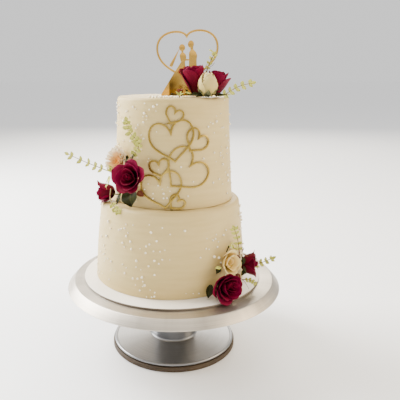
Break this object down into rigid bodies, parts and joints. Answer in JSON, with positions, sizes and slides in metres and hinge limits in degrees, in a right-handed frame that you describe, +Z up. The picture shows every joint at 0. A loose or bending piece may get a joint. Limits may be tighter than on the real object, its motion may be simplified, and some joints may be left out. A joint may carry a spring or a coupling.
{
  "type": "decorated wedding cake on a revolving stand",
  "caption": "Tiered round celebration cake with gold hearts, silk flowers and a gold couple topper, on a cake board and a revolving metal stand.",
  "frame": {"origin": "centre of the flat underside of the stand's non-slip pad, on the surface it stands on", "axes": "+Z up along the stand's spin axis, -Y towards the front of the cake, +X to the right seen from the front"},
  "size_m": [0.3048, 0.3048, 0.4516],
  "materials": {
    "pad_rubber": "matte, slightly rough",
    "stand_aluminium": "satin, spun",
    "board_white": "laminated white",
    "ivory_icing": "soft matt buttercream",
    "mirror_gold": "gold mirror sheet",
    "crimson_petals": "velvety",
    "cream_petals": "soft matt",
    "fluffy_petals": "soft matt",
    "dark_leaves": "waxy",
    "sprig_leaves": "waxy",
    "reddish_leaf": "matt"
  },
  "bodies": {
    "base": {"non_slip_pad": "pad_rubber", "base_disc": "stand_aluminium"},
    "turntable": {"plate": "stand_aluminium", "cake_board": "board_white", "lower_tier": "ivory_icing", "upper_tier": "ivory_icing", "gold_hearts": "mirror_gold", "topper": "mirror_gold", "rose_top_left": "crimson_petals", "rose_top_right": "crimson_petals", "rose_left_large": "crimson_petals", "rose_left_small": "crimson_petals", "rose_right_large": "crimson_petals", "rose_right_side": "crimson_petals", "rose_cream": "cream_petals", "white_bud": "cream_petals", "fluffy_flower": "fluffy_petals", "red_bud": "reddish_leaf", "calyx": "reddish_leaf", "leaf_top_front": "dark_leaves", "leaf_top_left": "dark_leaves", "leaf_top_right": "dark_leaves", "leaf_left_under": "dark_leaves", "leaf_left_low": "dark_leaves", "leaf_left_red": "reddish_leaf", "leaf_right_low": "dark_leaves", "leaf_right_left": "dark_leaves", "leaf_right_upper": "sprig_leaves", "sprig_top_up": "sprig_leaves", "sprig_top_right": "sprig_leaves", "sprig_left_out": "sprig_leaves", "sprig_left_up": "sprig_leaves", "sprig_left_down": "sprig_leaves", "sprig_right_up": "sprig_leaves", "sprig_right_out": "sprig_leaves", "sprig_right_low": "sprig_leaves"}
  },
  "joints": [
    {"name": "turntable_spin", "type": "hinge", "parent": "base", "child": "turntable", "pos_m": [0, 0, 0.0955], "axis": [0, 0, 1], "continuous": true}
  ]
}
